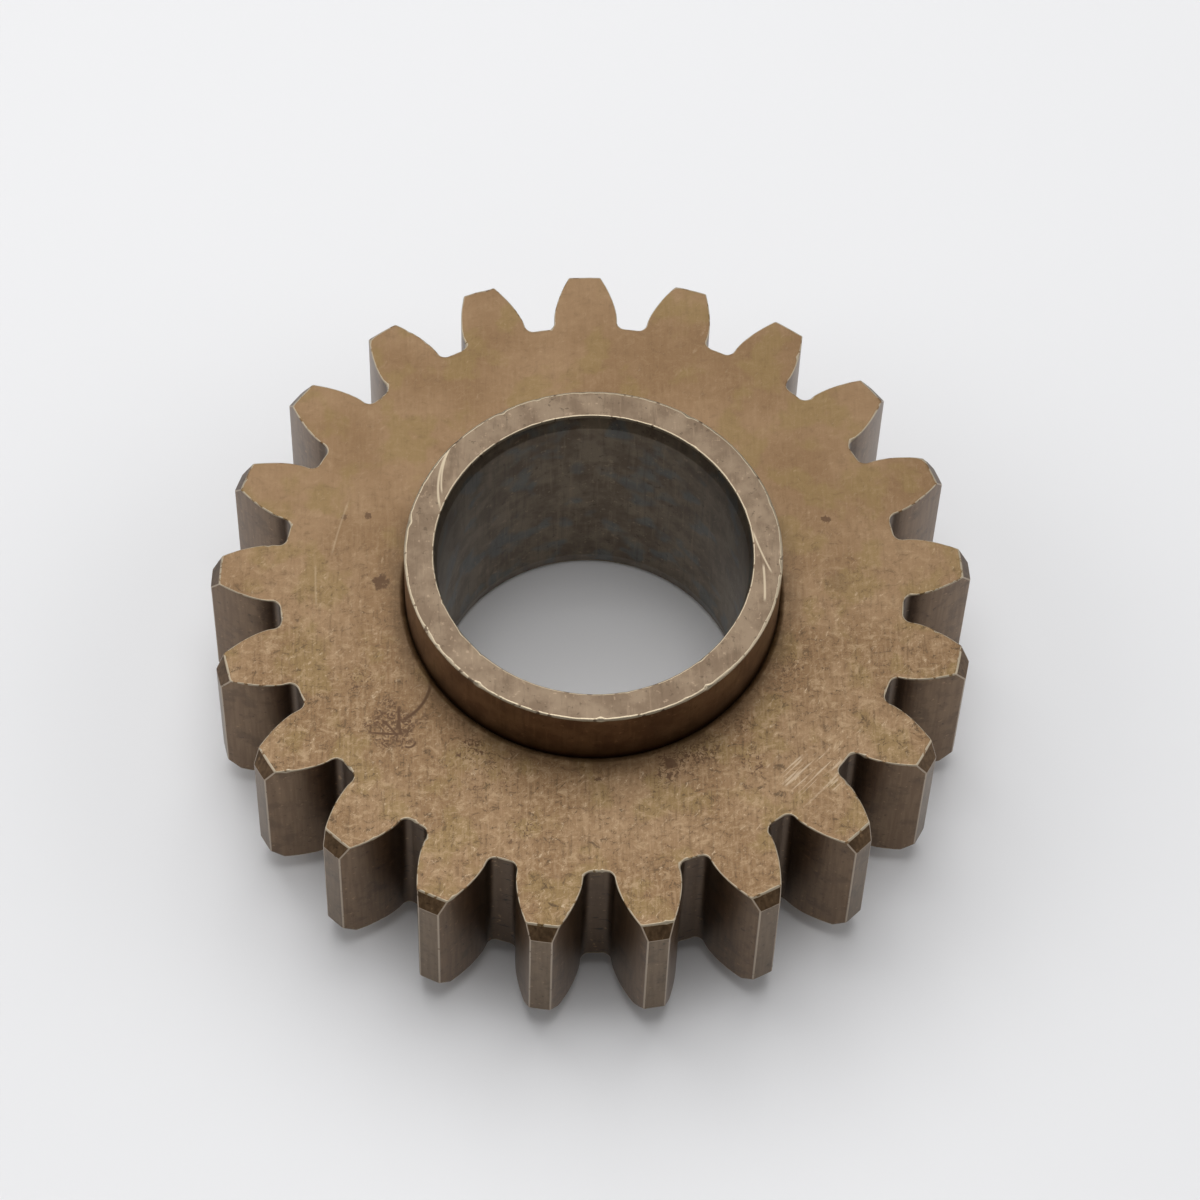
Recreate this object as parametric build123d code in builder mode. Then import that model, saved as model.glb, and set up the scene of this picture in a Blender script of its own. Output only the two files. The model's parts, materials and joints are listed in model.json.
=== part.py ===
"""Straight-toothed gear wheel with a plain sleeve pressed through it, standing proud of both faces.

Frame: millimetres, +Z along the bore, origin on the gear's axis in the plane of the sleeve's
lower end face, which is what the part stands on. One tooth is centred on +Y.
"""
import os
from math import acos, cos, degrees, pi, radians, sin, sqrt, tan

from build123d import *

# Toothing
MODULE = 2.0
TEETH = 21
PRESSURE_ANGLE = radians(20)
PROFILE_SHIFT = 0.33 * MODULE       # cut outwards by this much, which thickens the teeth
ADDENDUM = 0.92 * MODULE            # slightly shortened
DEDENDUM = 1.25 * MODULE
ROOT_FILLET = 0.55

# Rim
RIM_WIDTH = 11.5
UPPER_TIP_BEVEL = (0.6, 1.1)        # radial, axial
LOWER_TIP_BEVEL = (0.7, 0.8)
SEAT_BREAK = 0.2                    # bevel of the rim's bore at both faces

# Sleeve
SLEEVE_OUTER_DIAMETER = 23.0
BORE_DIAMETER = 19.0
SLEEVE_LENGTH = 18.0
SLEEVE_BELOW_RIM = 1.8
MOUTH_TAPER = (0.2, 1.2)            # radial, axial, at both ends of the bore
SLEEVE_EDGE_BREAK = 0.12

# Worked out
PITCH_RADIUS = MODULE * TEETH / 2
TIP_RADIUS = PITCH_RADIUS + PROFILE_SHIFT + ADDENDUM
ROOT_RADIUS = PITCH_RADIUS + PROFILE_SHIFT - DEDENDUM
BASE_RADIUS = PITCH_RADIUS * cos(PRESSURE_ANGLE)
SLEEVE_RADIUS = SLEEVE_OUTER_DIAMETER / 2
BORE_RADIUS = BORE_DIAMETER / 2
RIM_BOTTOM = SLEEVE_BELOW_RIM
RIM_TOP = RIM_BOTTOM + RIM_WIDTH

CUT_RADIUS = TIP_RADIUS + 1.0       # the tooth-gap cutter reaches this far out
FLANK_STEPS = 6


def half_gap_angle(radius):
    """Half of the angle between two neighbouring teeth, at a radius on or above the base circle."""
    roll = acos(BASE_RADIUS / radius)
    inv_here = tan(roll) - roll
    inv_pitch = tan(PRESSURE_ANGLE) - PRESSURE_ANGLE
    half_pitch_arc = MODULE * pi / 4 + PROFILE_SHIFT * tan(PRESSURE_ANGLE)
    half_tooth = half_pitch_arc / PITCH_RADIUS + inv_pitch - inv_here
    return pi / TEETH - half_tooth


def polar(radius, angle):
    """A point at an angle measured clockwise from +Y."""
    return (radius * sin(angle), radius * cos(angle))


def flank(side):
    """Involute points of one side of a gap centred on +Y, from the base circle outwards."""
    points = []
    for step in range(FLANK_STEPS + 1):
        # even steps of roll length put the points evenly along the curve's swing
        share = step / FLANK_STEPS
        radius = sqrt(BASE_RADIUS**2 + share**2 * (CUT_RADIUS**2 - BASE_RADIUS**2))
        points.append(polar(radius, side * half_gap_angle(radius)))
    return points


base_angle = half_gap_angle(BASE_RADIUS)
right_flank = flank(1)
left_flank = flank(-1)
root_right = polar(ROOT_RADIUS, base_angle)
root_left = polar(ROOT_RADIUS, -base_angle)

# --- Gear wheel: a turned blank with bevelled rim edges, then the gaps between the teeth -------
with BuildPart() as gear_wheel:
    with BuildSketch(Plane.XZ) as blank_section:
        with BuildLine():
            Polyline(
                (SLEEVE_RADIUS, RIM_BOTTOM + SEAT_BREAK),
                (SLEEVE_RADIUS + SEAT_BREAK, RIM_BOTTOM),
                (TIP_RADIUS - LOWER_TIP_BEVEL[0], RIM_BOTTOM),
                (TIP_RADIUS, RIM_BOTTOM + LOWER_TIP_BEVEL[1]),
                (TIP_RADIUS, RIM_TOP - UPPER_TIP_BEVEL[1]),
                (TIP_RADIUS - UPPER_TIP_BEVEL[0], RIM_TOP),
                (SLEEVE_RADIUS + SEAT_BREAK, RIM_TOP),
                (SLEEVE_RADIUS, RIM_TOP - SEAT_BREAK),
                close=True,
            )
        make_face()
    revolve(axis=Axis.Z)

    with BuildSketch(Plane.XY.offset(RIM_BOTTOM)) as gap_section:
        with BuildLine():
            Line(root_right, right_flank[0])
            Spline(*right_flank)
            Line(right_flank[-1], left_flank[-1])
            Spline(*left_flank)
            Line(left_flank[0], root_left)
            ThreePointArc(root_left, (0, ROOT_RADIUS), root_right)
        make_face()
        root_corners = gap_section.vertices().group_by(Axis.Y)[0]
        fillet(root_corners, ROOT_FILLET)
    gap_tool = gap_section.sketch
    first_gap = degrees(pi / TEETH)
    for number in range(TEETH):
        turn = first_gap + 360 / TEETH * number
        extrude(gap_tool.rotate(Axis.Z, turn), amount=RIM_WIDTH, mode=Mode.SUBTRACT)
gear_wheel.part.label = "gear_wheel"

# --- Bore sleeve: a plain tube with tapered mouths, longer than the rim is wide -----------------
with BuildPart() as bore_sleeve:
    with BuildSketch(Plane.XZ) as sleeve_section:
        with BuildLine():
            Polyline(
                (BORE_RADIUS, MOUTH_TAPER[1]),
                (BORE_RADIUS + MOUTH_TAPER[0], 0),
                (SLEEVE_RADIUS - SLEEVE_EDGE_BREAK, 0),
                (SLEEVE_RADIUS, SLEEVE_EDGE_BREAK),
                (SLEEVE_RADIUS, SLEEVE_LENGTH - SLEEVE_EDGE_BREAK),
                (SLEEVE_RADIUS - SLEEVE_EDGE_BREAK, SLEEVE_LENGTH),
                (BORE_RADIUS + MOUTH_TAPER[0], SLEEVE_LENGTH),
                (BORE_RADIUS, SLEEVE_LENGTH - MOUTH_TAPER[1]),
                close=True,
            )
        make_face()
    revolve(axis=Axis.Z)
bore_sleeve.part.label = "bore_sleeve"

os.makedirs("parts", exist_ok=True)
export_step(gear_wheel.part, "parts/gear_wheel.step")
export_step(bore_sleeve.part, "parts/bore_sleeve.step")
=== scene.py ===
"""The looks of a small straight-toothed gear wheel with a plain sleeve pressed through it.

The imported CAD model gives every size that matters. This script builds finer meshes in the same
places, with worn and rounded edges and nicks, and gives them procedural steel materials.
Lengths inside the mesh code are millimetres, as in the CAD, and are turned into metres at the end.
"""
import json
from math import acos, cos, pi, radians, sin, sqrt, tan

import bpy
import numpy as np
from mathutils import Matrix, Vector, noise


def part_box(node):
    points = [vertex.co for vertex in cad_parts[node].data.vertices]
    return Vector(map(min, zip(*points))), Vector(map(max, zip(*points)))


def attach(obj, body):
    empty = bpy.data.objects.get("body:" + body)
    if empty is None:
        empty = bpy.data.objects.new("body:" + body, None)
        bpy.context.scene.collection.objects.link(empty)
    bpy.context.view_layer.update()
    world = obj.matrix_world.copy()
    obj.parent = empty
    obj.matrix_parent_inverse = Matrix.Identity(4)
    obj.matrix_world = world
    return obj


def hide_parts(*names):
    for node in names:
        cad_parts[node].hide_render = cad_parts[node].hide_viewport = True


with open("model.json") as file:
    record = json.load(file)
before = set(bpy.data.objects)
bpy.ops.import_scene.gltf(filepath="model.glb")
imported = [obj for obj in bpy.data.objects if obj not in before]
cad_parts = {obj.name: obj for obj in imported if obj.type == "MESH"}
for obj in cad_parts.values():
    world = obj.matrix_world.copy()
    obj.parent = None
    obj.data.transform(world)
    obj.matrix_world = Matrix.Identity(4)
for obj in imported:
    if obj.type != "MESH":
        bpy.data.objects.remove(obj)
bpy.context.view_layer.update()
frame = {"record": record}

MM = 0.001

# ------------------------------------------------------------------ sizes, from the frame
rim_low, rim_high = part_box("gear_wheel")
_, sleeve_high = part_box("bore_sleeve")
mounts = {m["name"]: m for m in frame["record"]["mounts"]}
TIP_RADIUS = rim_high.y / MM                    # one tooth is centred on +Y
RIM_BOTTOM = rim_low.z / MM
RIM_TOP = rim_high.z / MM
SLEEVE_RADIUS = sleeve_high.x / MM
SLEEVE_LENGTH = sleeve_high.z / MM
BORE_RADIUS = mounts["bore"]["dims"]["r_mm"]
STRAIGHT_BORE = mounts["bore"]["dims"]["length_mm"]

# ------------------------------------------------------------------ sizes, as in the CAD source
TEETH = 21
PRESSURE_ANGLE = radians(20)
SHIFT, ADDENDUM, DEDENDUM = 0.33, 0.92, 1.25    # in modules
MODULE = TIP_RADIUS / (TEETH / 2 + SHIFT + ADDENDUM)
PITCH_RADIUS = MODULE * TEETH / 2
ROOT_RADIUS = PITCH_RADIUS + (SHIFT - DEDENDUM) * MODULE
BASE_RADIUS = PITCH_RADIUS * cos(PRESSURE_ANGLE)
ROOT_FILLET = 0.55
UPPER_TIP_BEVEL = (0.6, 1.1)                    # radial, axial
LOWER_TIP_BEVEL = (0.7, 0.8)
SEAT_BREAK = 0.2
MOUTH_FLARE = 0.2
SLEEVE_EDGE_BREAK = 0.12

# ------------------------------------------------------------------ fineness of the meshes
FILLET_STEPS = 7
FLANK_STEPS = 12
CORNER_STEPS = 4
LAND_STEPS = 10
GAP_STEPS = 8
ROUNDING_STEPS = 4
FACE_RINGS = 36
SETTLE_RATE = 3              # a rim face's rings are round and even after 1/3 of the way in
UPPER_BEVEL_LOOPS = (0.42, 0.6, 0.85)    # depths of the loops on the upper tip bevel
LOWER_BEVEL_LOOP = 0.45      # height of the loop on the lower tip bevel
CREASE_CLEARANCE = 0.4       # from a bevel's crease to the plain loops of the sides
SIDE_STEPS = 16
SLEEVE_STEPS = 900
WALL_STEPS = 9
END_STEPS = 8
MOUTH_STEPS = 4
BORE_STEPS = 14

# ------------------------------------------------------------------ wear
EDGE_WEAR = 0.065            # usual radius of a worn tooth edge
CORNER_WEAR = 0.09           # tangent length of the rounding between a flank and the tip land
SUPPORT = 0.05               # a loop this far from each rounding keeps the wear inside it
NICKS_PER_EDGE = 46
DEEPEST_WEAR = 0.3           # no tooth edge is worn back further, nicks included
FACE_LOOP_WEAR = 0.4         # wear mark of a rounding's loop next to the rim face
OUTER_NICKS = (16, 0.16)     # on each outer edge of the sleeve: how many, and the deepest
INNER_NICKS = (9, 0.09)


def waver(x, y, z, size, seed):
    """Smooth noise from 0 to 1 at a point, with features of about the given size."""
    return 0.5 + 0.5 * noise.noise(Vector((x / size + 17.3 * seed, y / size, z / size)))


def arc(start, end, steps):
    return [start + (end - start) * i / steps for i in range(steps + 1)]


# ====================================================================== gear wheel: outline
def half_tooth_angle(radius):
    """Half of a tooth's angle at a radius on or above the base circle."""
    roll = acos(min(1.0, BASE_RADIUS / radius))
    inv_here = tan(roll) - roll
    inv_pitch = tan(PRESSURE_ANGLE) - PRESSURE_ANGLE
    half_pitch_arc = MODULE * (pi / 4 + SHIFT * tan(PRESSURE_ANGLE))
    return half_pitch_arc / PITCH_RADIUS + inv_pitch - inv_here


BASE_HALF = half_tooth_angle(BASE_RADIUS)
FILLET_CENTRE_RADIUS = ROOT_RADIUS + ROOT_FILLET
FILLET_CENTRE_ANGLE = BASE_HALF + np.arcsin(ROOT_FILLET / FILLET_CENTRE_RADIUS)
FLANK_FOOT_RADIUS = sqrt(FILLET_CENTRE_RADIUS**2 - ROOT_FILLET**2)


def polar(radius, angle):
    """A point at an angle measured clockwise from +Y."""
    return np.array((radius * sin(angle), radius * cos(angle)))


def half_outline(tip_radius, inset):
    """The right side of the tooth on +Y, from the root circle up to the start of the tip land.
    inset moves the whole outline into the metal. An involute moved sideways by a distance is the
    same involute turned by that distance over the base radius."""
    centre = polar(FILLET_CENTRE_RADIUS, FILLET_CENTRE_ANGLE)
    bottom = polar(ROOT_RADIUS - inset, FILLET_CENTRE_ANGLE) - centre
    foot = polar(FLANK_FOOT_RADIUS, BASE_HALF) - centre
    from_bottom, to_foot = np.arctan2(bottom[1], bottom[0]), np.arctan2(foot[1], foot[0])
    if to_foot > from_bottom:
        to_foot -= 2 * pi
    points = [centre + (ROOT_FILLET + inset) * np.array((cos(turn), sin(turn)))
              for turn in arc(from_bottom, to_foot, FILLET_STEPS)]

    tip = tip_radius - inset
    flank_end = tip - CORNER_WEAR * BASE_RADIUS / tip
    for radius in arc(FLANK_FOOT_RADIUS, flank_end, FLANK_STEPS)[1:]:
        angle = half_tooth_angle(max(radius, BASE_RADIUS)) - inset / BASE_RADIUS
        points.append(polar(radius, angle))
    tip_angle = half_tooth_angle(tip) - inset / BASE_RADIUS
    start, corner = points[-1], polar(tip, tip_angle)
    end = polar(tip, tip_angle - CORNER_WEAR / tip)
    for t in arc(0, 1, CORNER_STEPS)[1:]:
        points.append((1 - t) ** 2 * start + 2 * t * (1 - t) * corner + t**2 * end)
    return np.array(points)


HALF = FILLET_STEPS + FLANK_STEPS + CORNER_STEPS + 1
PER_TOOTH = 2 * HALF + LAND_STEPS - 1 + GAP_STEPS - 1
AROUND = PER_TOOTH * TEETH


def outline(tip_radius, inset=0.0):
    """All points round the gear, clockwise from the left foot of the tooth on +Y."""
    right = half_outline(tip_radius, inset)
    left = right * (-1, 1)
    tip = tip_radius - inset
    land_end = half_tooth_angle(tip) - inset / BASE_RADIUS - CORNER_WEAR / tip
    land = [polar(tip, a) for a in arc(-land_end, land_end, LAND_STEPS)[1:-1]]
    gap_end = 2 * pi / TEETH - FILLET_CENTRE_ANGLE
    gap = [polar(ROOT_RADIUS - inset, a)
           for a in arc(FILLET_CENTRE_ANGLE, gap_end, GAP_STEPS)[1:-1]]
    tooth = np.vstack([left, land, right[::-1], gap])
    rounds = []
    for number in range(TEETH):
        a = 2 * pi / TEETH * number
        turn = np.array([[cos(a), -sin(a)], [sin(a), cos(a)]])
        rounds.append(tooth @ turn)
    return np.vstack(rounds)


def inwards_from(tip_radius):
    """For each point of the outline, how it moves for each millimetre of inset."""
    step = 0.1
    return (outline(tip_radius, step) - outline(tip_radius)) / step


# ====================================================================== mesh helper
class Builder:
    """Collects vertices, faces, a wear value for each vertex and a material for each face."""

    def __init__(self):
        self.points, self.wear, self.faces, self.skins = [], [], [], []

    def loop(self, points, wear):
        """Adds vertices and returns their numbers."""
        first = len(self.points)
        self.points.extend(np.asarray(points, float).tolist())
        self.wear.extend(np.broadcast_to(wear, len(points)).tolist())
        return np.arange(first, first + len(points))

    def strip(self, upper, lower, skins, flip=False, closed=True):
        """Quads between two rows of vertices. skins is one material number, or one for each quad."""
        count = len(upper) if closed else len(upper) - 1
        skins = np.broadcast_to(skins, count)
        for k in range(count):
            n = (k + 1) % len(upper)
            quad = (int(upper[k]), int(upper[n]), int(lower[n]), int(lower[k]))
            self.faces.append(quad[::-1] if flip else quad)
            self.skins.append(int(skins[k]))

    def piece(self, name, materials):
        mesh = bpy.data.meshes.new(name)
        mesh.from_pydata((np.array(self.points) * MM).tolist(), [], self.faces)
        for material in materials:
            mesh.materials.append(material)
        mesh.polygons.foreach_set("material_index", self.skins)
        mesh.polygons.foreach_set("use_smooth", [True] * len(self.faces))
        wear = mesh.attributes.new("wear", "FLOAT", "POINT")
        wear.data.foreach_set("value", self.wear)
        mesh.update()
        made = bpy.data.objects.new(name, mesh)
        bpy.context.scene.collection.objects.link(made)
        return made


# ====================================================================== gear wheel: the mesh
UPPER_FACE, LOWER_FACE, FLANK, LAND, BEVEL = range(5)

CORNERS = [*range(HALF - CORNER_STEPS, HALF - 1)]
CORNERS += [2 * HALF + LAND_STEPS - 2 - k for k in CORNERS]
LAND_START = HALF - 1
LAND_END = HALF - 1 + LAND_STEPS


def per_tooth(values):
    return np.tile(values, TEETH)


corner_wear = np.zeros(PER_TOOTH)
corner_wear[CORNERS] = 1
crease_wear = np.zeros(PER_TOOTH)
crease_wear[LAND_START - CORNER_STEPS + 1:LAND_END + CORNER_STEPS] = 1
corner_wear, crease_wear = per_tooth(corner_wear), per_tooth(crease_wear)


def side_skins(on_bevel):
    skins = np.full(PER_TOOTH, FLANK)
    skins[LAND_START - CORNER_STEPS:LAND_END + CORNER_STEPS] = BEVEL if on_bevel else LAND
    return per_tooth(skins)


def worn_edge_radius(points, seed):
    """How far each point of a rim face's outline is worn back."""
    radius = np.array([0.45 + 0.8 * waver(x, y, 0, 1.1, seed) + 0.5 * waver(x, y, 5, 0.35, seed)
                       for x, y in points]) * EDGE_WEAR
    dice = np.random.default_rng(seed)
    for _ in range(NICKS_PER_EDGE):
        centre = points[dice.integers(len(points))]
        size = dice.uniform(0.08, 0.22)
        depth = dice.uniform(0.04, 0.13)
        distance = np.linalg.norm(points - centre, axis=1)
        radius += depth * np.exp(-(distance / size) ** 2)
    radius = np.minimum(radius, DEEPEST_WEAR).reshape(TEETH, PER_TOOTH)
    for first in (LAND_START - CORNER_STEPS, LAND_END):
        corner = radius[:, first:first + CORNER_STEPS + 1]
        corner[:] = corner.mean(axis=1, keepdims=True)
    return radius.ravel()


def face_inset(worn):
    """How far in the flat face begins. It is one distance round each tip land and one round each
    gap, where the rows of faces lie so close together that they would cross."""
    inset = worn.reshape(TEETH, PER_TOOTH).copy()
    tip = inset[:, LAND_START - CORNER_STEPS:LAND_END + CORNER_STEPS + 1]
    tip[:] = tip.max(axis=1, keepdims=True)
    inset = np.roll(inset.ravel(), -FILLET_STEPS - 1).reshape(TEETH, PER_TOOTH)
    gap = inset[:, -2 * (FILLET_STEPS + 1) - GAP_STEPS + 1:]
    gap[:] = gap.max(axis=1, keepdims=True)
    return np.roll(inset.ravel(), FILLET_STEPS + 1) + SUPPORT


def tip_radius_at(height):
    below = (RIM_TOP - height) / UPPER_TIP_BEVEL[1]
    above = (height - RIM_BOTTOM) / LOWER_TIP_BEVEL[1]
    return (TIP_RADIUS - UPPER_TIP_BEVEL[0] * max(0.0, 1 - below)
            - LOWER_TIP_BEVEL[0] * max(0.0, 1 - above))


def rim_end(build, face, inwards, seed):
    """The loops that round a rim face into the sides. Returns the face's border and the side's."""
    points = outline(tip_radius_at(face))
    into_metal = inwards_from(tip_radius_at(face))
    worn = worn_edge_radius(points, seed)
    rings = [np.column_stack([points + into_metal * face_inset(worn)[:, None],
                              np.full(AROUND, face)])]
    marks = [0.0]
    for turn in arc(0, pi / 2, ROUNDING_STEPS):
        sunk = worn * (1 - cos(turn))
        level = outline(tip_radius_at(face + inwards * EDGE_WEAR * (1 - cos(turn))))
        flat = level + into_metal * (worn * (1 - sin(turn)))[:, None]
        rings.append(np.column_stack([flat, face + inwards * sunk]))
        marks.append(1.0 if turn else FACE_LOOP_WEAR)
    level = outline(tip_radius_at(face + inwards * (EDGE_WEAR + SUPPORT)))
    rings.append(np.column_stack([level, face + inwards * (worn + SUPPORT)]))
    marks.append(corner_wear)
    return [build.loop(ring, mark) for ring, mark in zip(rings, marks)]


def rim_face(build, border, face, skin, flip):
    """Fills a rim face: a grid in each tooth, then rings in to the sleeve's seat."""
    points = np.array([build.points[i] for i in border])
    ring = []
    for number in range(TEETH):
        first = number * PER_TOOTH
        rows = []
        for j in range(HALF):
            left, right = first + j, first + 2 * HALF + LAND_STEPS - 2 - j
            if j == HALF - 1:
                inner = [border[left + m] for m in range(1, LAND_STEPS)]
            else:
                shares = np.array(arc(0, 1, LAND_STEPS)[1:-1])[:, None]
                inner = build.loop(points[left] * (1 - shares) + points[right] * shares, 0.0)
            rows.append([border[left], *inner, border[right]])
        for near, far in zip(rows, rows[1:]):
            build.strip(far, near, skin, flip=not flip, closed=False)
        ring += rows[0] + [border[first + PER_TOOTH - GAP_STEPS + 1 + g] for g in range(GAP_STEPS - 1)]
    outer = np.array([build.points[i] for i in ring])
    radii = np.hypot(outer[:, 0], outer[:, 1])
    turns = np.unwrap(np.arctan2(outer[:, 0], outer[:, 1]))
    even = turns[0] + np.arange(len(ring)) * 2 * pi / len(ring)
    seat = SLEEVE_RADIUS + SEAT_BREAK
    for share in arc(0, 1, FACE_RINGS)[1:]:
        settle = min(1.0, SETTLE_RATE * share)
        radius = (radii * (1 - settle) + ROOT_RADIUS * settle) * (1 - share) + seat * share
        turn = turns * (1 - settle) + even * settle
        inner = build.loop(np.column_stack([radius * np.sin(turn), radius * np.cos(turn),
                                            np.full(len(ring), face)]), 0.0)
        build.strip(ring, inner, skin, flip=not flip)
        ring = inner
    return ring, even


def gear_wheel_mesh():
    build = Builder()
    top = rim_end(build, RIM_TOP, -1, seed=3)
    bottom = rim_end(build, RIM_BOTTOM, 1, seed=8)
    for near, far in zip(top, top[1:]):
        build.strip(near, far, UPPER_FACE)
    for near, far in zip(bottom, bottom[1:]):
        build.strip(near, far, LOWER_FACE, flip=True)

    upper_crease = RIM_TOP - UPPER_TIP_BEVEL[1]
    lower_crease = RIM_BOTTOM + LOWER_TIP_BEVEL[1]
    heights = [RIM_TOP - depth for depth in UPPER_BEVEL_LOOPS]
    heights += [upper_crease + SUPPORT, upper_crease, upper_crease - SUPPORT]
    heights += arc(upper_crease - CREASE_CLEARANCE, lower_crease + CREASE_CLEARANCE, SIDE_STEPS)
    heights += [lower_crease + SUPPORT, lower_crease, lower_crease - SUPPORT]
    heights.append(RIM_BOTTOM + LOWER_BEVEL_LOOP)
    previous, height_before = top[-1], RIM_TOP
    for height in heights:
        mark = corner_wear
        if height in (upper_crease, lower_crease):
            mark = np.maximum(corner_wear, crease_wear)
        flat = outline(tip_radius_at(height))
        ring = build.loop(np.column_stack([flat, np.full(AROUND, height)]), mark)
        on_bevel = (height + height_before) / 2 > upper_crease
        on_bevel = on_bevel or (height + height_before) / 2 < lower_crease
        build.strip(previous, ring, side_skins(on_bevel))
        previous, height_before = ring, height
    build.strip(previous, bottom[-1], side_skins(True))

    seats = []
    for border, face, skin, flip in ((top[0], RIM_TOP, UPPER_FACE, False),
                                     (bottom[0], RIM_BOTTOM, LOWER_FACE, True)):
        ring, even = rim_face(build, border, face, skin, flip)
        inwards = 1 if flip else -1
        seat = build.loop(np.column_stack([SLEEVE_RADIUS * np.sin(even), SLEEVE_RADIUS * np.cos(even),
                                           np.full(len(ring), face + inwards * SEAT_BREAK)]), 0.0)
        build.strip(ring, seat, skin, flip=not flip)
        seats.append(seat)
    build.strip(seats[0], seats[1], FLANK, flip=True)
    return build


# ====================================================================== sleeve: the mesh
SLEEVE_END, SLEEVE_WALL, BORE_WALL = range(3)
MOUTH_DEPTH = (SLEEVE_LENGTH - STRAIGHT_BORE) / 2
MOUTH_RADIUS = BORE_RADIUS + MOUTH_FLARE
INNER_EDGE = 0.06
HIDDEN_TOP = RIM_TOP - 1            # the outside's plain loops begin and end inside the rim
HIDDEN_FOOT = RIM_TOP - 1.2
WALL_TOP, WALL_FOOT = 0.7, 0.5      # from the upper and lower end to the nearest plain loop
MOUTH_LOOPS = (0.3, 0.45)           # depths of the first two loops in a mouth
BEND_CLEARANCE = 0.1                # from the bend below a mouth to the loops beside it
BORE_CLEARANCE = 0.6                # and to the straight bore's evenly spaced loops


def sleeve_ring(build, radius, height, wear):
    """One loop of the sleeve. radius and height are numbers, or one for each point."""
    turns = np.arange(SLEEVE_STEPS) * 2 * pi / SLEEVE_STEPS
    radius = np.broadcast_to(radius, SLEEVE_STEPS)
    height = np.broadcast_to(height, SLEEVE_STEPS)
    return build.loop(np.column_stack([radius * np.sin(turns), radius * np.cos(turns), height]), wear)


def ring_wear(radius, usual, seed, nicks, deepest):
    """How far each point of a round edge is worn back."""
    turns = np.arange(SLEEVE_STEPS) * 2 * pi / SLEEVE_STEPS
    worn = np.array([0.5 + 0.7 * waver(radius * sin(t), radius * cos(t), 0, 1.6, seed)
                     + 0.5 * waver(radius * sin(t), radius * cos(t), 3, 0.4, seed)
                     for t in turns]) * usual
    dice = np.random.default_rng(seed)
    for _ in range(nicks):
        apart = np.abs((turns - dice.uniform(0, 2 * pi) + pi) % (2 * pi) - pi) * radius
        worn += dice.uniform(0.2, 1) * deepest * np.exp(-(apart / dice.uniform(0.12, 0.3)) ** 2)
    return worn


def sleeve_mesh():
    """Round the section, starting on the outside within the rim: over the top, down the bore and
    back."""
    build = Builder()
    rings, skins = [], []

    def add(radius, height, wear, skin):
        rings.append(sleeve_ring(build, radius, height, wear))
        skins.append(skin)

    def outer_edge(end, inwards, worn, skin, order):
        for turn in order:
            add(SLEEVE_RADIUS - worn * (1 - cos(turn)), end + inwards * worn * (1 - sin(turn)),
                1.0, skin)

    top_outer = ring_wear(SLEEVE_RADIUS, SLEEVE_EDGE_BREAK, 21, *OUTER_NICKS)
    low_outer = ring_wear(SLEEVE_RADIUS, SLEEVE_EDGE_BREAK, 22, *OUTER_NICKS)
    top_inner = ring_wear(MOUTH_RADIUS, INNER_EDGE, 23, *INNER_NICKS)
    low_inner = ring_wear(MOUTH_RADIUS, INNER_EDGE, 24, *INNER_NICKS)
    quarter = arc(0, pi / 2, ROUNDING_STEPS)

    for height in arc(HIDDEN_TOP, SLEEVE_LENGTH - WALL_TOP, WALL_STEPS):
        add(SLEEVE_RADIUS, height, 0.0, SLEEVE_WALL)
    add(SLEEVE_RADIUS, SLEEVE_LENGTH - top_outer - SUPPORT, 0.0, SLEEVE_WALL)
    outer_edge(SLEEVE_LENGTH, -1, top_outer, SLEEVE_END, quarter)
    for share in arc(0, 1, END_STEPS):
        outside = SLEEVE_RADIUS - top_outer - SUPPORT
        inside = MOUTH_RADIUS + top_inner + SUPPORT
        add(outside * (1 - share) + inside * share, SLEEVE_LENGTH, 0.0, SLEEVE_END)
    for turn in quarter:
        add(MOUTH_RADIUS + top_inner * (1 - sin(turn)), SLEEVE_LENGTH - top_inner * (1 - cos(turn)),
            1.0, SLEEVE_END)

    slope = MOUTH_FLARE / MOUTH_DEPTH
    for depth in [MOUTH_LOOPS[0], *arc(MOUTH_LOOPS[1], MOUTH_DEPTH - BEND_CLEARANCE, MOUTH_STEPS),
                  MOUTH_DEPTH]:
        add(MOUTH_RADIUS - slope * depth, SLEEVE_LENGTH - depth, 0.0, BORE_WALL)
    for height in [SLEEVE_LENGTH - MOUTH_DEPTH - BEND_CLEARANCE,
                   *arc(SLEEVE_LENGTH - MOUTH_DEPTH - BORE_CLEARANCE, MOUTH_DEPTH + BORE_CLEARANCE,
                        BORE_STEPS),
                   MOUTH_DEPTH + BEND_CLEARANCE]:
        add(BORE_RADIUS, height, 0.0, BORE_WALL)
    for depth in [MOUTH_DEPTH, *arc(MOUTH_DEPTH - BEND_CLEARANCE, MOUTH_LOOPS[1], MOUTH_STEPS),
                  MOUTH_LOOPS[0]]:
        add(MOUTH_RADIUS - slope * depth, depth, 0.0, BORE_WALL)

    for turn in quarter[::-1]:
        add(MOUTH_RADIUS + low_inner * (1 - sin(turn)), low_inner * (1 - cos(turn)), 1.0, SLEEVE_END)
    for share in arc(0, 1, END_STEPS):
        inside = MOUTH_RADIUS + low_inner + SUPPORT
        outside = SLEEVE_RADIUS - low_outer - SUPPORT
        add(inside * (1 - share) + outside * share, 0.0, 0.0, SLEEVE_END)
    outer_edge(0.0, 1, low_outer, SLEEVE_END, quarter[::-1])
    add(SLEEVE_RADIUS, low_outer + SUPPORT, 0.0, SLEEVE_WALL)
    for height in arc(WALL_FOOT, HIDDEN_FOOT, WALL_STEPS):
        add(SLEEVE_RADIUS, height, 0.0, SLEEVE_WALL)

    for k, ring in enumerate(rings):
        build.strip(rings[k - 1], ring, skins[k], flip=True)
    return build


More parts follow.
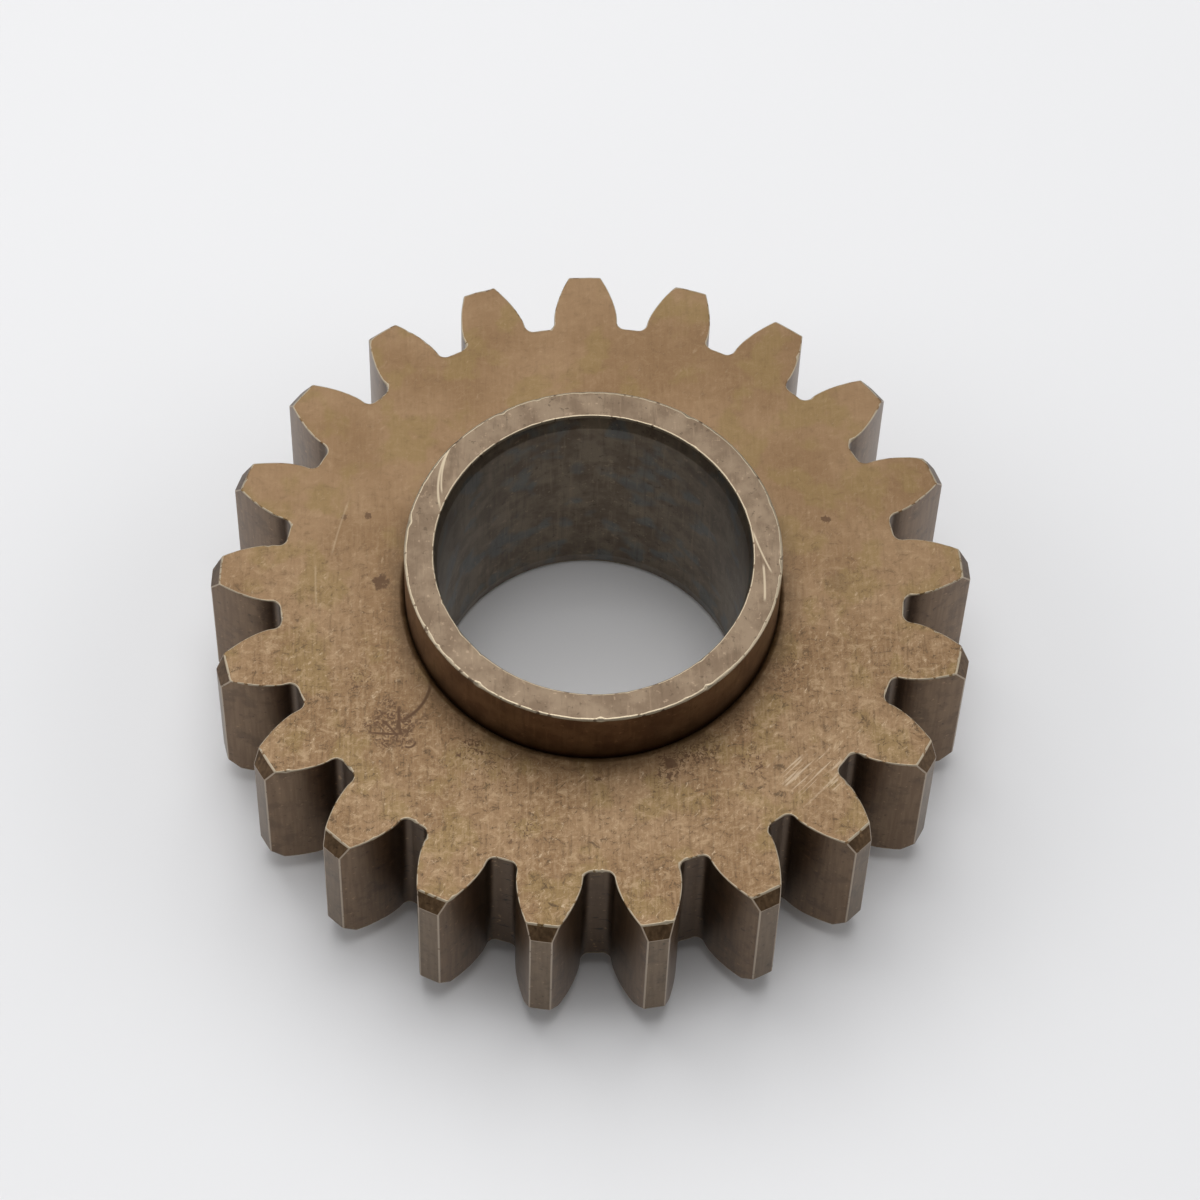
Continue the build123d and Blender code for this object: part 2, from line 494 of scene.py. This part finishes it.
# ====================================================================== materials
class Shade:
    """A steel material: one Principled shader, with short names for the nodes that feed it."""

    def __init__(self, name, roughness, metallic):
        self.material = bpy.data.materials.new(name)
        self.material.use_nodes = True
        self.tree = self.material.node_tree
        self.tree.nodes.clear()
        self.surface = self.add("ShaderNodeBsdfPrincipled")
        self.surface.inputs["Metallic"].default_value = metallic
        self.surface.inputs["Roughness"].default_value = roughness
        out = self.add("ShaderNodeOutputMaterial")
        self.tree.links.new(self.surface.outputs[0], out.inputs["Surface"])
        coordinates = self.add("ShaderNodeTexCoord")
        self.place = self.stretch(1 / MM, 1 / MM, 1 / MM, coordinates.outputs["Object"])
        split = self.add("ShaderNodeSeparateXYZ", {0: self.place})
        self.x, self.y, self.z = split.outputs
        flat = self.add("ShaderNodeCombineXYZ", {0: self.x, 1: self.y})
        self.radius = self.vector("LENGTH", flat.outputs[0], 0).outputs["Value"]
        worn = self.add("ShaderNodeAttribute")
        worn.attribute_name = "wear"
        self.wear = worn.outputs["Fac"]

    def add(self, kind, inputs=None, **settings):
        made = self.tree.nodes.new(kind)
        for key, value in settings.items():
            setattr(made, key, value)
        for key, value in (inputs or {}).items():
            if isinstance(value, bpy.types.NodeSocket):
                self.tree.links.new(value, made.inputs[key])
            else:
                made.inputs[key].default_value = value
        return made

    def stretch(self, x, y, z, source=None):
        """The place, scaled by a different amount along each axis."""
        source = source or self.place
        return self.add("ShaderNodeMapping", {"Vector": source, "Scale": (x, y, z)}).outputs[0]

    def vector(self, operation, a, b):
        inputs = {0: a} if b == 0 else {0: a, 1: b}
        return self.add("ShaderNodeVectorMath", inputs, operation=operation)

    def math(self, operation, a, b=0.0, clamp=False):
        return self.add("ShaderNodeMath", {0: a, 1: b}, operation=operation, use_clamp=clamp).outputs[0]

    def noise(self, scale, detail=2.0, source=None, roughness=0.5, distortion=0.0):
        return self.add("ShaderNodeTexNoise", {"Vector": source or self.place, "Scale": scale,
                                               "Detail": detail, "Roughness": roughness,
                                               "Distortion": distortion}).outputs[0]

    def between(self, value, low, high, to_low=0.0, to_high=1.0):
        """value, taken smoothly from low..high to to_low..to_high."""
        return self.add("ShaderNodeMapRange", {0: value, 1: low, 2: high, 3: to_low, 4: to_high},
                        interpolation_type="SMOOTHSTEP").outputs[0]

    def mix(self, share, a, b):
        colours = {6: (*a, 1) if isinstance(a, tuple) else a, 7: (*b, 1) if isinstance(b, tuple) else b}
        return self.add("ShaderNodeMix", {0: share, **colours}, data_type="RGBA").outputs[2]

    def turn(self, degrees):
        """The place, turned about Z."""
        angle = (0, 0, radians(degrees))
        return self.add("ShaderNodeMapping", {"Vector": self.place, "Rotation": angle}).outputs[0]

    def blot(self, centre, reach):
        """A spot with a ragged border: 1 in the middle, 0 beyond its reach."""
        away = self.vector("DISTANCE", self.place, centre).outputs["Value"]
        ragged = self.math("MULTIPLY", self.noise(2.4 / reach, 4, None, 0.7), 1.4 * reach)
        return self.between(self.math("ADD", away, ragged), 1.25 * reach, 1.02 * reach)

    def stroke(self, centre, radius, middle, reach, width):
        """A thin scratch: part of a circle's line, within reach of its middle. 1 on the line."""
        from_centre = self.vector("DISTANCE", self.place, centre).outputs["Value"]
        off = self.math("ABSOLUTE", self.math("SUBTRACT", from_centre, radius))
        line = self.between(off, width, width * 0.3)
        near = self.vector("DISTANCE", self.place, middle).outputs["Value"]
        return self.math("MULTIPLY", line, self.between(near, reach, reach * 0.7))

    def finish(self, colour, bump, depth):
        self.tree.links.new(colour, self.surface.inputs["Base Color"])
        node = self.add("ShaderNodeBump", {"Strength": 1.0, "Distance": depth * MM, "Height": bump})
        self.tree.links.new(node.outputs["Normal"], self.surface.inputs["Normal"])
        return self.material


BRIGHT_EDGE = (0.42, 0.35, 0.25)
DULL_EDGE = (0.36, 0.29, 0.22)
# Dark of the dirt marks on the rim face, and of the painted shade at the foot of the sleeve's outside.
DIRT_AND_SHADE = (0.075, 0.036, 0.014)
STAIN = ((0.178, 0.102, 0.045), (0.222, 0.135, 0.067))
OLIVE_STAIN = (0.19, 0.125, 0.043)
FOOT_SHADE_AND_DIRT = (0.09, 0.05, 0.02)
GRINDING_LINES = ((0.33, 0.225, 0.13), (0.08, 0.045, 0.018))     # pale and dark
MOTTLE = ((0.3, 0.205, 0.114), (0.065, 0.036, 0.013))
FLECKS = ((0.4, 0.3, 0.19), (0.05, 0.028, 0.011))
SCRATCHED = (0.4, 0.31, 0.21)
PALE_HAIR = (0.36, 0.27, 0.17)
ROOT_BITES = (0.01, 0.006, 0.003)
BLUE_PATCHES = (0.13, 0.16, 0.17)

# Marks seen on the upper rim face, as (x, y) in the part's frame.
DARK_SPOTS = (((-13.0, 0.75), 1.1, 0.95), ((14.6, 4.9), 0.6, 0.85), ((15.2, 0.4), 1.6, 0.3),
              ((-13.8, 5.5), 0.5, 0.8), ((-15.2, 5.4), 0.4, 0.7), ((0.1, -13.0), 0.4, 0.9),
              ((4.5, -12.0), 0.8, 0.9))             # centre, reach, strength
DARK_CLUSTERS = (((-12.1, -9.2), 3.4, 0.46), ((-6.6, -12.6), 3.4, 0.56), ((-4.5, -16.3), 2.2, 0.54),
                 ((-7.6, -10.8), 1.8, 0.5), ((4.6, -12.0), 2.6, 0.49), ((6.4, -11.0), 2.8, 0.5),
                 ((8.3, -9.2), 2.8, 0.52), ((-14.0, -6.0), 2.0, 0.52), ((9.5, -12.0), 2.0, 0.52),
                 ((11.8, -5.5), 2.0, 0.53))         # centre, reach, how sparse
DARK_HAIRS = (((-13.3, -5.9), 3.4, (-10.5, -7.5), 2.3, 0.15),
              ((-1.8, -8.2), 10.1, (-11.9, -8.9), 1.1, 0.13),
              ((-12.0, 2.5), 12.3, (-12.5, -9.8), 1.1, 0.11),
              ((-18.6, -14.6), 8.1, (-12.4, -9.4), 0.9, 0.12),
              ((-11.3, -10.3), 0.42, (-11.1, -10.7), 0.5, 0.11))
FINE_SCRATCHES = ((12.7, -13.0), 4.0)               # centre, reach
PALE_HAIRS = (((23.1, -5.7), 40.0, (-15.5, 4.6), 2.2, 0.08),
              ((22.8, 1.5), 39.8, (-17.0, 0.6), 1.6, 0.08))
# Scratches seen on the sleeve's upper end: circle's centre and radius, middle, reach, width.
END_SCRATCHES = (((-3.1, 4.5), 6.3, (-9.3, 5.5), 2.5, 0.1), ((-2.6, 4.9), 6.6, (-9.1, 5.9), 1.8, 0.08),
                 ((29.0, 6.7), 20.0, (10.1, -0.1), 1.7, 0.08), ((-9.7, -2.1), 20.0, (10.3, -2.2), 1.4, 0.1))


def on_plane(point, height):
    return (*point, height)


def worn_edges(shade, colour, bright=BRIGHT_EDGE, lost=0.35):
    """The colour, rubbed through to bright steel where the mesh is marked as worn."""
    patchy = shade.between(shade.noise(2.2, 3), lost, lost + 0.12)
    rubbed = shade.between(shade.math("MULTIPLY", shade.wear, patchy), 0.25, 0.75)
    return shade.mix(rubbed, colour, bright)


def seen_marks(shade, colour):
    """The spots, hairs and scratches seen on the upper rim face."""
    for centre, reach, strength in DARK_SPOTS:
        spot = shade.blot(on_plane(centre, RIM_TOP), reach)
        colour = shade.mix(shade.math("MULTIPLY", spot, strength), colour, DIRT_AND_SHADE)
    scribble = shade.noise(2.6, 4, None, 0.7, 2.0)
    for centre, reach, sparse in DARK_CLUSTERS:
        cluster = shade.blot(on_plane(centre, RIM_TOP), reach)
        dots = shade.between(scribble, sparse, sparse + 0.07, 0, 0.95)
        colour = shade.mix(shade.math("MULTIPLY", cluster, dots), colour, DIRT_AND_SHADE)
    for centre, radius, middle, reach, width in DARK_HAIRS:
        hair = shade.stroke(on_plane(centre, RIM_TOP), radius, on_plane(middle, RIM_TOP), reach, width)
        colour = shade.mix(hair, colour, DIRT_AND_SHADE)
    slanting = shade.noise(1.0, 2, shade.stretch(0.3, 7, 1, shade.turn(-45)))
    centre, reach = FINE_SCRATCHES
    patch = shade.blot(on_plane(centre, RIM_TOP), reach)
    fine = shade.math("MULTIPLY", patch, shade.between(slanting, 0.54, 0.62, 0, 0.7))
    colour = shade.mix(fine, colour, SCRATCHED)
    for centre, radius, middle, reach, width in PALE_HAIRS:
        hair = shade.stroke(on_plane(centre, RIM_TOP), radius, on_plane(middle, RIM_TOP), reach, width)
        colour = shade.mix(shade.math("MULTIPLY", hair, 0.35), colour, PALE_HAIR)
    return colour


def stained_face(name, marked):
    """Ground rim face under an olive-brown stain, flecked all over, with grinding lines along Y."""
    shade = Shade(name, 0.42, 0.6)
    clouds = shade.between(shade.noise(0.2, 4), 0.35, 0.65)
    colour = shade.mix(clouds, *STAIN)
    olive = shade.between(shade.noise(0.36, 3, shade.turn(70)), 0.5, 0.62, 0, 0.6)
    colour = shade.mix(olive, colour, OLIVE_STAIN)
    lines = shade.noise(1.0, 3, shade.stretch(6.5, 0.6, 1))
    busy = shade.between(shade.y, 9, -7, 0.25, 1)
    pale = shade.math("MULTIPLY", shade.between(lines, 0.52, 0.72, 0, 0.35), busy)
    dark = shade.math("MULTIPLY", shade.between(lines, 0.46, 0.28, 0, 0.5), busy)
    colour = shade.mix(pale, colour, GRINDING_LINES[0])
    colour = shade.mix(dark, colour, GRINDING_LINES[1])
    mottle = shade.noise(1.3, 7, shade.stretch(1, 1.4, 1), 0.85, 0.6)
    pale = shade.math("MULTIPLY", shade.between(mottle, 0.52, 0.6, 0, 0.75), busy)
    dark = shade.math("MULTIPLY", shade.between(mottle, 0.47, 0.37, 0, 0.9), busy)
    colour = shade.mix(pale, colour, MOTTLE[0])
    colour = shade.mix(dark, colour, MOTTLE[1])
    flecks = shade.noise(1.2, 6, shade.stretch(1.5, 3.6, 1, shade.turn(-50)), 0.8, 1.2)
    pale = shade.math("MULTIPLY", shade.between(flecks, 0.57, 0.66, 0, 0.8), busy)
    dark = shade.math("MULTIPLY", shade.between(flecks, 0.42, 0.33, 0, 0.9), busy)
    colour = shade.mix(pale, colour, FLECKS[0])
    colour = shade.mix(dark, colour, FLECKS[1])
    if marked:
        colour = seen_marks(shade, colour)
    # A ragged darker ring round the sleeve's foot: painted shade of the corner, with dirt.
    foot = shade.between(shade.radius, SLEEVE_RADIUS, SLEEVE_RADIUS + 2.1, 1, 0)
    ragged = shade.between(shade.noise(0.9, 5, None, 0.65), 0.28, 0.62, 0.2, 0.9)
    colour = shade.mix(shade.math("MULTIPLY", foot, ragged), colour, FOOT_SHADE_AND_DIRT)
    colour = worn_edges(shade, colour)
    height = shade.math("ADD", shade.math("ADD", lines, mottle), shade.math("MULTIPLY", flecks, 0.8))
    return shade.finish(colour, height, 0.006)


def cut_steel(name, dark, light, roughness):
    """Cut tooth surfaces under old oil: streaks along the teeth, and painted shade that darkens them towards
    the root.
    """
    shade = Shade(name, roughness, 1.0)
    streaks = shade.noise(1.0, 4, shade.stretch(4.5, 4.5, 0.3))
    colour = shade.mix(shade.between(streaks, 0.3, 0.7), dark, light)
    clouds = shade.noise(0.7, 4, None, 0.65)
    colour = shade.mix(shade.between(clouds, 0.5, 0.35, 0, 0.5), colour, tuple(0.55 * c for c in dark))
    # Painted shade: darker towards the root, deep in the gap between the teeth.
    painted_root_shade = shade.between(shade.radius, ROOT_RADIUS + 1.5, ROOT_RADIUS + 0.1, 0, 0.65)
    colour = shade.mix(painted_root_shade, colour, tuple(0.4 * c for c in dark))
    specks = shade.noise(3.0, 3)
    colour = shade.mix(shade.between(specks, 0.64, 0.72, 0, 0.6), colour, tuple(1.7 * c for c in light))
    colour = shade.mix(shade.between(specks, 0.36, 0.28, 0, 0.7), colour, tuple(0.35 * c for c in dark))
    bites = shade.noise(1.0, 3, shade.stretch(0.9, 0.9, 4.0, shade.turn(15)))
    low = shade.between(shade.radius, ROOT_RADIUS + 0.5, ROOT_RADIUS + 0.1)
    bite = shade.math("MULTIPLY", low, shade.between(bites, 0.36, 0.31, 0, 0.9))
    colour = shade.mix(bite, colour, ROOT_BITES)
    colour = worn_edges(shade, colour, DULL_EDGE, 0.28)
    height = shade.math("ADD", streaks, shade.math("MULTIPLY", specks, 0.5))
    return shade.finish(colour, height, 0.006)


def sleeve_steel(name, dark, light, roughness, stretched, tint=0.0, scratches=(), foot=False):
    """Bare ground steel. tint is how strongly blue-grey patches show in it, and foot darkens the
    outside towards the rim face: painted shade, the dark reflection of the corner at its foot."""
    shade = Shade(name, roughness, 1.0)
    lines = shade.noise(1.0, 3, shade.stretch(*stretched))
    clouds = shade.between(shade.noise(0.6, 4, None, 0.6), 0.35, 0.65)
    colour = shade.mix(clouds, dark, light)
    blue = shade.between(shade.noise(0.42, 2, shade.turn(30)), 0.5, 0.62, 0, tint)
    colour = shade.mix(blue, colour, BLUE_PATCHES)
    colour = shade.mix(shade.between(lines, 0.55, 0.75, 0, 0.3), colour, tuple(1.5 * c for c in light))
    colour = shade.mix(shade.between(lines, 0.45, 0.25, 0, 0.35), colour, tuple(0.5 * c for c in dark))
    flecks = shade.noise(2.6, 4, None, 0.65)
    colour = shade.mix(shade.between(flecks, 0.6, 0.7, 0, 0.6), colour, tuple(1.6 * c for c in light))
    colour = shade.mix(shade.between(flecks, 0.4, 0.3, 0, 0.6), colour, tuple(0.45 * c for c in dark))
    for centre, radius, middle, reach, width in scratches:
        line = shade.stroke(centre, radius, middle, reach, width)
        colour = shade.mix(shade.math("MULTIPLY", line, 0.75), colour, BRIGHT_EDGE)
    # Painted shade: the outside grows darker towards the rim face, standing in for the dark reflection of
    # the corner at its foot.
    painted_foot_shade = shade.between(shade.z, RIM_TOP + 2.2, RIM_TOP, 0, 0.75 if foot else 0)
    colour = shade.mix(painted_foot_shade, colour, DIRT_AND_SHADE)
    colour = worn_edges(shade, colour, BRIGHT_EDGE, 0.31)
    return shade.finish(colour, lines, 0.004)


# ====================================================================== the two pieces
end_scratches = [(on_plane(centre, SLEEVE_LENGTH), radius, on_plane(middle, SLEEVE_LENGTH), reach, width)
                 for centre, radius, middle, reach, width in END_SCRATCHES]
gear_wheel = gear_wheel_mesh().piece("gear_wheel_worn", [
    stained_face("stained_face_upper", True),
    stained_face("stained_face_lower", False),
    cut_steel("cut_flank", (0.145, 0.087, 0.046), (0.19, 0.12, 0.066), 0.36),
    cut_steel("tip_land", (0.135, 0.092, 0.054), (0.17, 0.118, 0.072), 0.38),
    cut_steel("tip_bevel", (0.08, 0.047, 0.024), (0.13, 0.08, 0.042), 0.42),
])
sleeve = sleeve_mesh().piece("bore_sleeve_worn", [
    sleeve_steel("sleeve_end", (0.14, 0.1, 0.068), (0.195, 0.145, 0.1), 0.42, (4, 0.5, 1), 0.0,
                 end_scratches),
    sleeve_steel("sleeve_outside", (0.2, 0.118, 0.072), (0.3, 0.195, 0.125), 0.35, (4, 4, 0.3), foot=True),
    sleeve_steel("sleeve_bore", (0.135, 0.099, 0.066), (0.21, 0.166, 0.116), 0.38, (4, 4, 0.25), 0.5),
])
for piece, node, slot in ((gear_wheel, "gear_wheel", "gear_steel"), (sleeve, "bore_sleeve", "sleeve_steel")):
    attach(piece, "root")
    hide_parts(node)

# ====================================================================== floor, light, camera
FLOOR_SIZE = 3.0
FLOOR_COLOUR = (0.80, 0.80, 0.81, 1)
FLOOR_ROUGHNESS = 0.45
SKY_COLOUR = (0.97, 0.98, 1.0, 1)
SKY_STRENGTH = 0.22
LIGHT_AIM = (0, 0, 0.008)


def pale_floor():
    half = FLOOR_SIZE / 2
    mesh = bpy.data.meshes.new("floor")
    mesh.from_pydata([(-half, -half, 0), (half, -half, 0), (half, half, 0), (-half, half, 0)],
                     [], [(0, 1, 2, 3)])
    shade = bpy.data.materials.new("pale_floor")
    shade.use_nodes = True
    surface = shade.node_tree.nodes["Principled BSDF"]
    surface.inputs["Base Color"].default_value = FLOOR_COLOUR
    surface.inputs["Roughness"].default_value = FLOOR_ROUGHNESS
    mesh.materials.append(shade)
    floor = bpy.data.objects.new("floor", mesh)
    bpy.context.scene.collection.objects.link(floor)


def soft_box(name, place, size, power):
    """A square lamp, in metres and watts, facing the part."""
    lamp = bpy.data.lights.new(name, "AREA")
    lamp.size = size
    lamp.energy = power
    made = bpy.data.objects.new(name, lamp)
    made.location = place
    made.rotation_euler = (Vector(LIGHT_AIM) - Vector(place)).to_track_quat("-Z", "Y").to_euler()
    bpy.context.scene.collection.objects.link(made)


pale_floor()
soft_box("key", (-0.05, 0.26, 0.43), 0.40, 0.97)
soft_box("top", (0.0, 0.0, 0.55), 0.25, 0.93)
soft_box("left", (-0.50, 0.05, 0.28), 0.50, 1.16)
soft_box("right", (0.50, 0.05, 0.28), 0.50, 1.02)
world = bpy.data.worlds.new("studio")
world.use_nodes = True
world.node_tree.nodes["Background"].inputs["Color"].default_value = SKY_COLOUR
world.node_tree.nodes["Background"].inputs["Strength"].default_value = SKY_STRENGTH
bpy.context.scene.world = world
bpy.context.scene.view_settings.view_transform = "Standard"

CAMERA_ELEVATION = radians(60.78)
CAMERA_TURN = radians(-3.28)        # about +Z, from straight in front of -Y
CAMERA_ROLL = radians(-2.32)
CAMERA_DISTANCE = 294.8             # along the lens's axis, to the rim's top face on the gear's axis
CAMERA_LENS = 143.89
SENSOR_WIDTH = 36
NEAREST_SEEN = 0.01                 # metres
AIM_ACROSS, AIM_UP = 0.48, -0.58    # the lens's axis, from the gear's axis at the rim's top


def photo_camera():
    turned = Matrix.Rotation(CAMERA_TURN, 3, "Z")
    back = turned @ Vector((0, -cos(CAMERA_ELEVATION), sin(CAMERA_ELEVATION)))
    level = turned @ Vector((1, 0, 0))
    upright = back.cross(level)
    right = level * cos(CAMERA_ROLL) - upright * sin(CAMERA_ROLL)
    up = level * sin(CAMERA_ROLL) + upright * cos(CAMERA_ROLL)
    aim = Vector((0, 0, RIM_TOP)) + right * AIM_ACROSS + up * AIM_UP
    axes = Matrix((right, up, back)).transposed().to_4x4()
    lens = bpy.data.cameras.new("photo_camera")
    lens.lens = CAMERA_LENS
    lens.sensor_width = SENSOR_WIDTH
    lens.clip_start = NEAREST_SEEN
    made = bpy.data.objects.new("photo_camera", lens)
    made.matrix_world = Matrix.Translation((aim + back * CAMERA_DISTANCE) * MM) @ axes
    bpy.context.scene.collection.objects.link(made)
    bpy.context.scene.camera = made


photo_camera()
